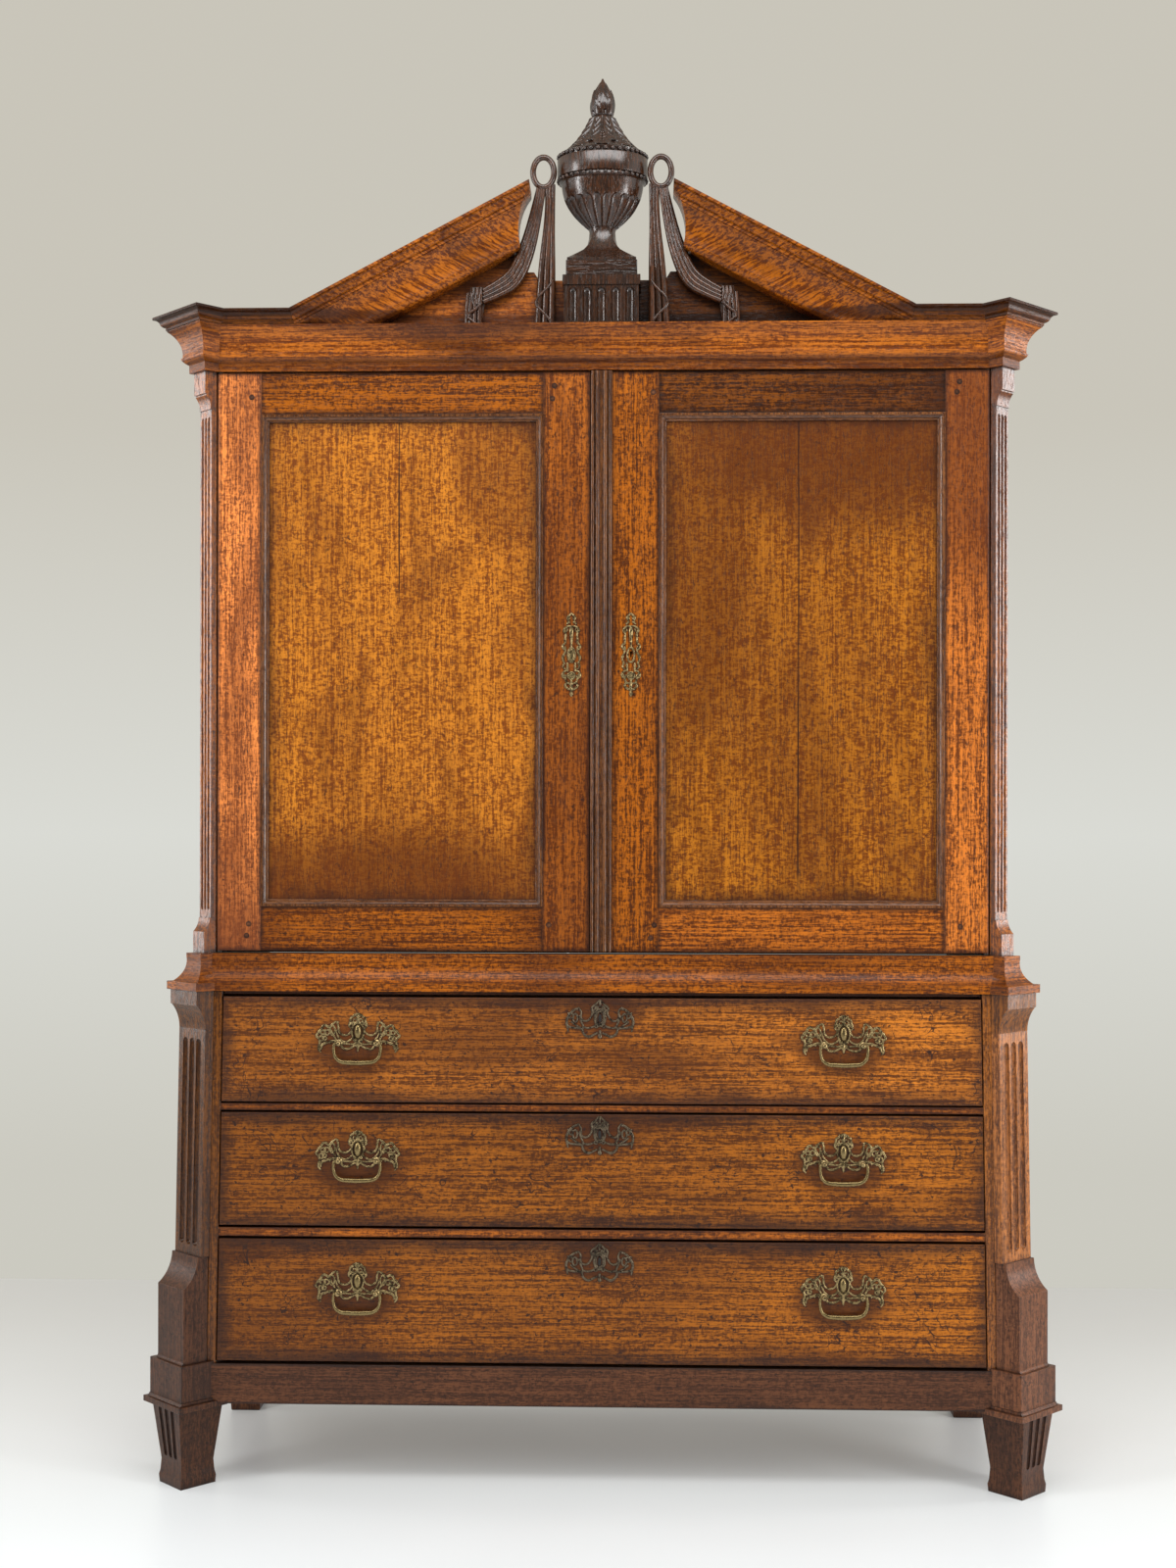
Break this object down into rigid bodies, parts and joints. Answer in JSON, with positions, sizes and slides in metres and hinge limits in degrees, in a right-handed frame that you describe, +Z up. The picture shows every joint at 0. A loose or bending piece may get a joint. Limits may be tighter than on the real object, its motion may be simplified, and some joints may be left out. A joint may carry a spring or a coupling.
{
  "type": "linen press cabinet",
  "caption": "Tall oak cabinet: panelled double-door cupboard over long drawers, fluted canted corners, broken pediment with carved urn and drapery.",
  "frame": {"origin": "on the floor under the middle of the whole cabinet", "axes": "+X to the right seen from the front, +Y to the back, +Z up"},
  "size_m": [1.7106, 0.6186, 2.634],
  "materials": {
    "oak_frame": "waxed amber-brown oak",
    "oak_panel": "waxed golden oak with ray fleck",
    "oak_drawer": "waxed amber-brown oak, scratched",
    "oak_side": "waxed oak",
    "oak_cornice": "waxed red-brown oak",
    "oak_moulding": "dark polished oak",
    "oak_dark": "dark red-brown oak",
    "oak_carved": "near-black carved oak",
    "oak_back": "unpolished oak",
    "oak_inside": "raw oak",
    "brass": "aged cast brass",
    "iron": "forged iron"
  },
  "bodies": {
    "cabinet": {"lower_corner_posts": "oak_frame", "lower_sides": "oak_side", "lower_back": "oak_back", "drawer_rails": "oak_frame", "apron": "oak_dark", "lower_boards": "oak_inside", "drawer_runners": "oak_inside", "lower_pilasters": "oak_frame", "lower_pilaster_bases": "oak_dark", "front_feet": "oak_dark", "back_feet": "oak_dark", "waist_moulding": "oak_frame", "upper_corner_posts": "oak_frame", "upper_sides": "oak_side", "upper_back": "oak_back", "upper_floor": "oak_inside", "upper_top": "oak_inside", "shelves": "oak_inside", "shelf_bearers": "oak_inside", "upper_pilasters": "oak_frame", "cornice_bed": "oak_cornice", "cornice_crown": "oak_cornice", "raking_cornices": "oak_cornice", "tympanum": "oak_cornice", "urn_pedestal": "oak_carved", "urn": "oak_carved", "urn_lid": "oak_carved", "drapery": "oak_carved"},
    "left_door": {"left_door_frame": "oak_frame", "left_door_panel": "oak_panel", "left_door_moulding": "oak_moulding", "left_door_scutcheon": "brass", "left_door_irons": "iron"},
    "right_door": {"right_door_frame": "oak_frame", "right_door_panel": "oak_panel", "right_door_moulding": "oak_moulding", "right_door_scutcheon": "brass", "right_door_irons": "iron", "right_door_astragal": "oak_moulding"},
    "left_door_top_bolt": {"left_door_top_bolt": "iron"},
    "left_door_bottom_bolt": {"left_door_bottom_bolt": "iron"},
    "right_door_lock_bolt": {"right_door_lock_bolt": "iron"},
    "top_drawer": {"top_drawer_front": "oak_drawer", "top_drawer_box": "oak_inside", "top_drawer_fittings": "brass"},
    "top_drawer_lock_bolt": {"top_drawer_lock_bolt": "iron"},
    "top_drawer_bail_left": {"top_drawer_bail_left": "brass"},
    "top_drawer_bail_right": {"top_drawer_bail_right": "brass"},
    "middle_drawer": {"middle_drawer_front": "oak_drawer", "middle_drawer_box": "oak_inside", "middle_drawer_fittings": "brass"},
    "middle_drawer_lock_bolt": {"middle_drawer_lock_bolt": "iron"},
    "middle_drawer_bail_left": {"middle_drawer_bail_left": "brass"},
    "middle_drawer_bail_right": {"middle_drawer_bail_right": "brass"},
    "bottom_drawer": {"bottom_drawer_front": "oak_drawer", "bottom_drawer_box": "oak_inside", "bottom_drawer_fittings": "brass"},
    "bottom_drawer_lock_bolt": {"bottom_drawer_lock_bolt": "iron"},
    "bottom_drawer_bail_left": {"bottom_drawer_bail_left": "brass"},
    "bottom_drawer_bail_right": {"bottom_drawer_bail_right": "brass"}
  },
  "joints": [
    {"name": "left_door_hinge", "type": "hinge", "parent": "cabinet", "child": "left_door", "pos_m": [-0.71563, -0.20474, 0.992], "axis": [0, 0, -1], "range_deg": [0, 90]},
    {"name": "right_door_hinge", "type": "hinge", "parent": "cabinet", "child": "right_door", "pos_m": [0.71563, -0.20474, 0.992], "axis": [0, 0, 1], "range_deg": [0, 90]},
    {"name": "left_door_top_bolt_slide", "type": "slide", "parent": "left_door", "child": "left_door_top_bolt", "axis": [0, 0, 1], "range_m": [0, 0.014]},
    {"name": "left_door_bottom_bolt_slide", "type": "slide", "parent": "left_door", "child": "left_door_bottom_bolt", "axis": [0, 0, -1], "range_m": [0, 0.014]},
    {"name": "right_door_lock_slide", "type": "slide", "parent": "right_door", "child": "right_door_lock_bolt", "axis": [-1, 0, 0], "range_m": [0, 0.009]},
    {"name": "top_drawer_slide", "type": "slide", "parent": "cabinet", "child": "top_drawer", "axis": [0, -1, 0], "range_m": [0, 0.4]},
    {"name": "top_drawer_lock_slide", "type": "slide", "parent": "top_drawer", "child": "top_drawer_lock_bolt", "axis": [0, 0, 1], "range_m": [0, 0.009]},
    {"name": "top_drawer_bail_left_hinge", "type": "hinge", "parent": "top_drawer", "child": "top_drawer_bail_left", "pos_m": [-0.448, -0.26274, 0.824], "axis": [-1, 0, 0], "range_deg": [0, 80]},
    {"name": "top_drawer_bail_right_hinge", "type": "hinge", "parent": "top_drawer", "child": "top_drawer_bail_right", "pos_m": [0.448, -0.26274, 0.824], "axis": [-1, 0, 0], "range_deg": [0, 80]},
    {"name": "middle_drawer_slide", "type": "slide", "parent": "cabinet", "child": "middle_drawer", "axis": [0, -1, 0], "range_m": [0, 0.4]},
    {"name": "middle_drawer_lock_slide", "type": "slide", "parent": "middle_drawer", "child": "middle_drawer_lock_bolt", "axis": [0, 0, 1], "range_m": [0, 0.009]},
    {"name": "middle_drawer_bail_left_hinge", "type": "hinge", "parent": "middle_drawer", "child": "middle_drawer_bail_left", "pos_m": [-0.448, -0.26274, 0.6065], "axis": [-1, 0, 0], "range_deg": [0, 80]},
    {"name": "middle_drawer_bail_right_hinge", "type": "hinge", "parent": "middle_drawer", "child": "middle_drawer_bail_right", "pos_m": [0.448, -0.26274, 0.6065], "axis": [-1, 0, 0], "range_deg": [0, 80]},
    {"name": "bottom_drawer_slide", "type": "slide", "parent": "cabinet", "child": "bottom_drawer", "axis": [0, -1, 0], "range_m": [0, 0.4]},
    {"name": "bottom_drawer_lock_slide", "type": "slide", "parent": "bottom_drawer", "child": "bottom_drawer_lock_bolt", "axis": [0, 0, 1], "range_m": [0, 0.009]},
    {"name": "bottom_drawer_bail_left_hinge", "type": "hinge", "parent": "bottom_drawer", "child": "bottom_drawer_bail_left", "pos_m": [-0.448, -0.26274, 0.362], "axis": [-1, 0, 0], "range_deg": [0, 80]},
    {"name": "bottom_drawer_bail_right_hinge", "type": "hinge", "parent": "bottom_drawer", "child": "bottom_drawer_bail_right", "pos_m": [0.448, -0.26274, 0.362], "axis": [-1, 0, 0], "range_deg": [0, 80]}
  ]
}
